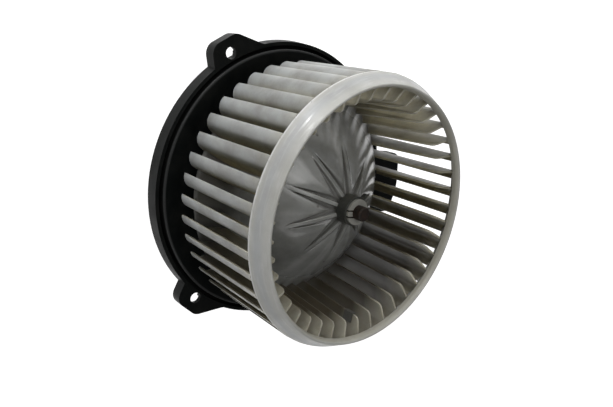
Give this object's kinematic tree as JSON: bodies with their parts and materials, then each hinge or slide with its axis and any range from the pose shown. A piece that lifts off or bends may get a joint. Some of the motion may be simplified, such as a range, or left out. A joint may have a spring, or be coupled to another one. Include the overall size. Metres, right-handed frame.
{
  "type": "dc blower fan",
  "caption": "Squirrel-cage blower wheel nested over a brushed DC motor, clamped to its shaft, on a round moulded mounting flange with screw ears and a side connector.",
  "frame": {"origin": "on the shaft axis, in the plane of the flange's mounting face", "axes": "+Z along the shaft to the air inlet, +X to the broad mounting lug, +Y to the upper screw ear"},
  "size_m": [0.1953, 0.171, 0.122],
  "materials": {
    "wheel_plastic": "satin, natural translucent polypropylene",
    "flange_plastic": "satin black moulding",
    "connector_plastic": "satin black moulding",
    "washer_plastic": "plain",
    "phenolic": "plain brown moulding",
    "ferrite": "ground ceramic",
    "carbon": "pressed carbon",
    "spring_steel": "dark, oiled",
    "shaft_steel": "rusty brown at the free end",
    "lamination_steel": "varnished",
    "plated_steel": "zinc plated",
    "copper": "enamelled",
    "bronze": "plain",
    "grommet_rubber": "matte"
  },
  "bodies": {
    "motor_frame": {"flange": "flange_plastic", "motor_yoke": "plated_steel", "end_bell": "plated_steel", "magnets": "ferrite", "magnet_springs": "spring_steel", "front_bearing": "bronze", "front_bearing_retainer": "spring_steel", "rear_bearing": "bronze", "rear_bearing_retainer": "spring_steel", "brush_plate": "phenolic", "brush_tubes": "bronze", "brush_spring_left": "spring_steel", "brush_spring_right": "spring_steel", "brush_lead_left": "copper", "brush_lead_right": "copper", "choke_coils": "copper", "terminals": "bronze", "connector_housing": "connector_plastic", "motor_cover": "flange_plastic", "isolation_grommets": "grommet_rubber", "spacer_sleeves": "plated_steel", "motor_screws": "plated_steel", "cover_screws": "plated_steel"},
    "rotor": {"impeller_ring": "wheel_plastic", "impeller_blades": "wheel_plastic", "impeller_hub": "wheel_plastic", "hub_clamp": "spring_steel", "balance_clip": "spring_steel", "motor_shaft": "shaft_steel", "shaft_retaining_ring": "spring_steel", "front_thrust_washer": "washer_plastic", "rear_thrust_washer": "washer_plastic", "armature_core": "lamination_steel", "armature_windings": "copper", "commutator_core": "phenolic", "commutator_bars": "copper"},
    "brush_left": {"brush_left": "carbon"},
    "brush_right": {"brush_right": "carbon"}
  },
  "joints": [
    {"name": "rotor_spin", "type": "hinge", "parent": "motor_frame", "child": "rotor", "pos_m": [0, 0, 0], "axis": [0, 0, 1], "continuous": true},
    {"name": "brush_left_slide", "type": "slide", "parent": "motor_frame", "child": "brush_left", "axis": [0, 1, 0], "range_m": [0, 0.004], "stiffness_N_per_m": 250, "springref_m": -0.012, "deforming": ["brush_spring_left", "brush_lead_left"]},
    {"name": "brush_right_slide", "type": "slide", "parent": "motor_frame", "child": "brush_right", "axis": [0, -1, 0], "range_m": [0, 0.004], "stiffness_N_per_m": 250, "springref_m": -0.012, "deforming": ["brush_spring_right", "brush_lead_right"]}
  ]
}
